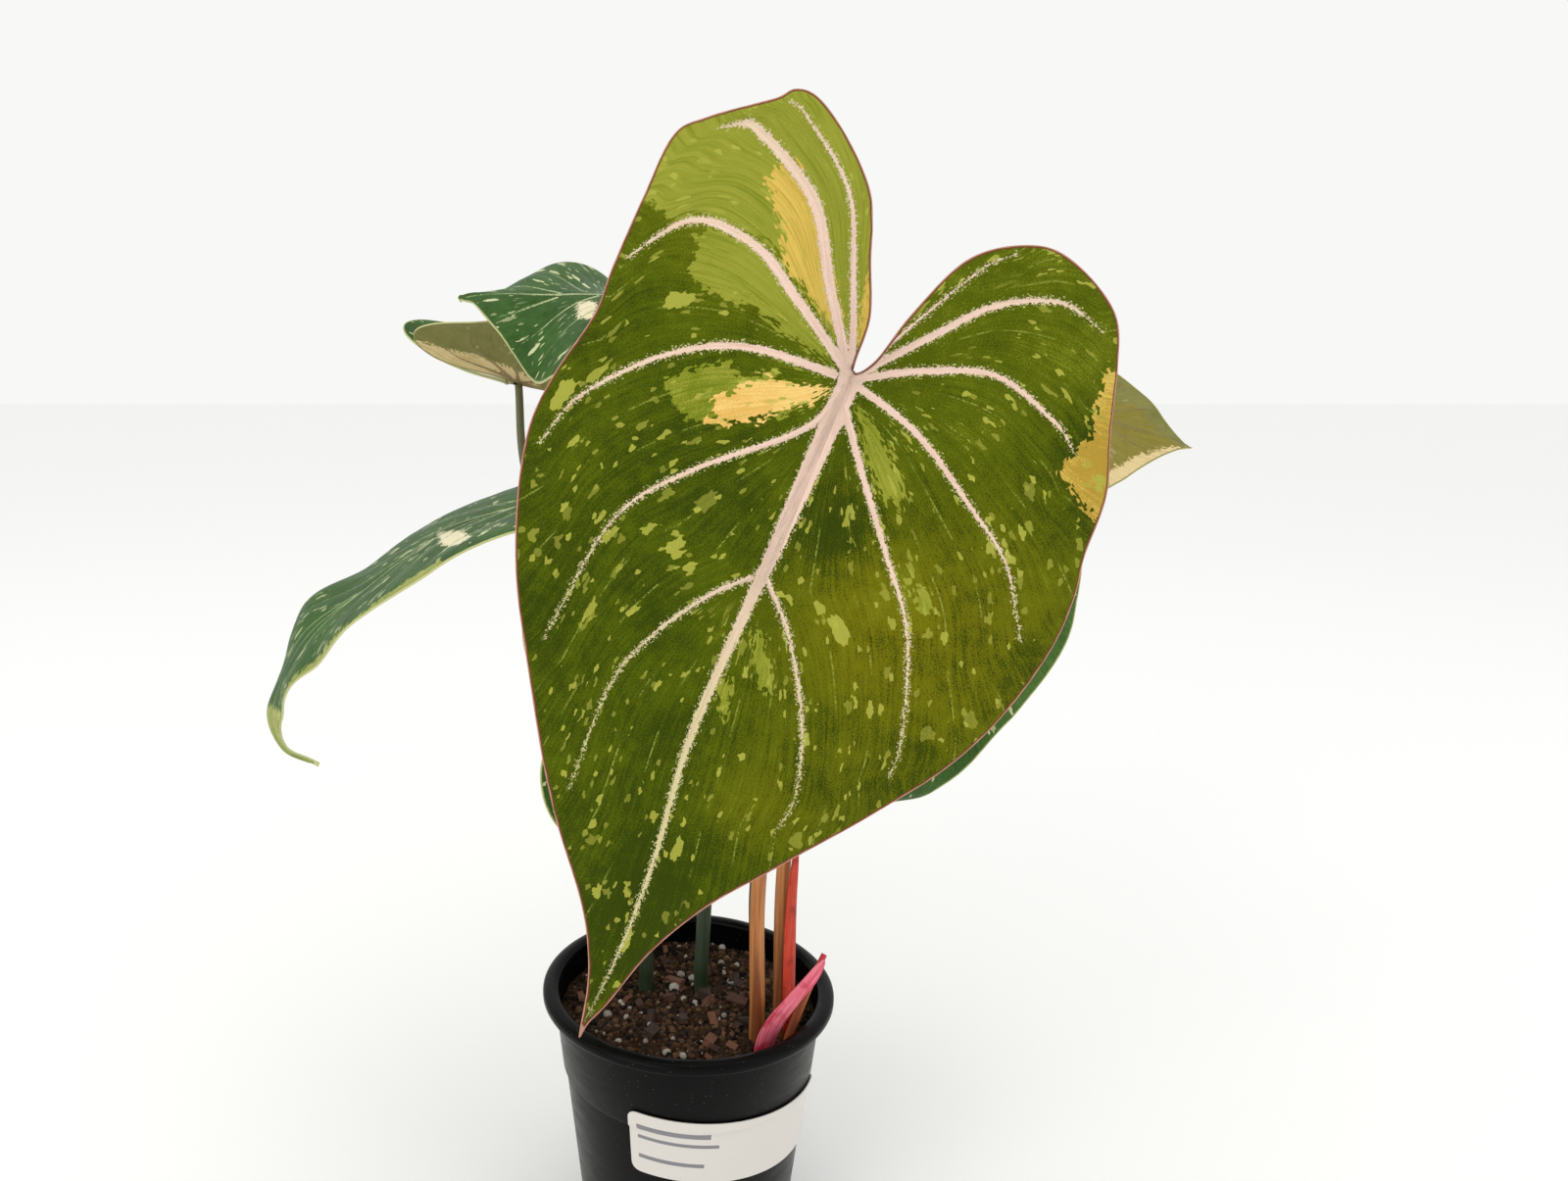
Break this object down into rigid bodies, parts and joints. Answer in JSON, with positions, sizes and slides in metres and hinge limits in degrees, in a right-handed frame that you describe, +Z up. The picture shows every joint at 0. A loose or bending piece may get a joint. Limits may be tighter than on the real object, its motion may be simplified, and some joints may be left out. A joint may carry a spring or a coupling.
{
  "type": "potted philodendron gloriosum plant",
  "caption": "Heart-leaved variegated foliage plant on slim stems, growing in soil in a round black nursery pot.",
  "frame": {"origin": "middle of the flat underside of the pot, where it rests", "axes": "+Z up along the pot's axis; -Y towards the viewer, the side that the front leaf faces; +X to the viewer's right"},
  "size_m": [0.3777, 0.3429, 0.3911],
  "materials": {
    "black_plastic": "moulded black nursery-pot plastic with a satin sheen",
    "white_label": "white coated sticker paper, bare but for ruled grey lines",
    "soil_mix": "dark coarse potting mix with bark chips and white perlite",
    "young_leaf": "velvety olive-green young leaf with pale pink veins and yellow variegation",
    "mature_leaf": "velvety dark green leaf with pale green veins and cream flecks, olive underneath",
    "tan_petiole": "smooth orange-brown leaf stalk with darker edges",
    "green_petiole": "smooth dark grey-green leaf stalk",
    "red_sheath": "bright red papery cataphyll",
    "pink_sheath": "soft pink cataphyll that turns red at its tip"
  },
  "bodies": {
    "root": {"pot": "black_plastic", "label": "white_label", "soil": "soil_mix", "front_blade": "young_leaf", "front_petiole": "tan_petiole", "lower_right_blade": "mature_leaf", "lower_right_petiole": "tan_petiole", "left_blade": "mature_leaf", "left_petiole": "green_petiole", "upper_left_blade": "mature_leaf", "upper_left_petiole": "green_petiole", "back_left_blade": "mature_leaf", "back_left_petiole": "green_petiole", "right_blade": "mature_leaf", "right_petiole": "green_petiole", "low_left_blade": "mature_leaf", "low_left_petiole": "green_petiole", "red_sheath": "red_sheath", "pink_sheath": "pink_sheath", "young_shoot": "tan_petiole"}
  },
  "joints": []
}
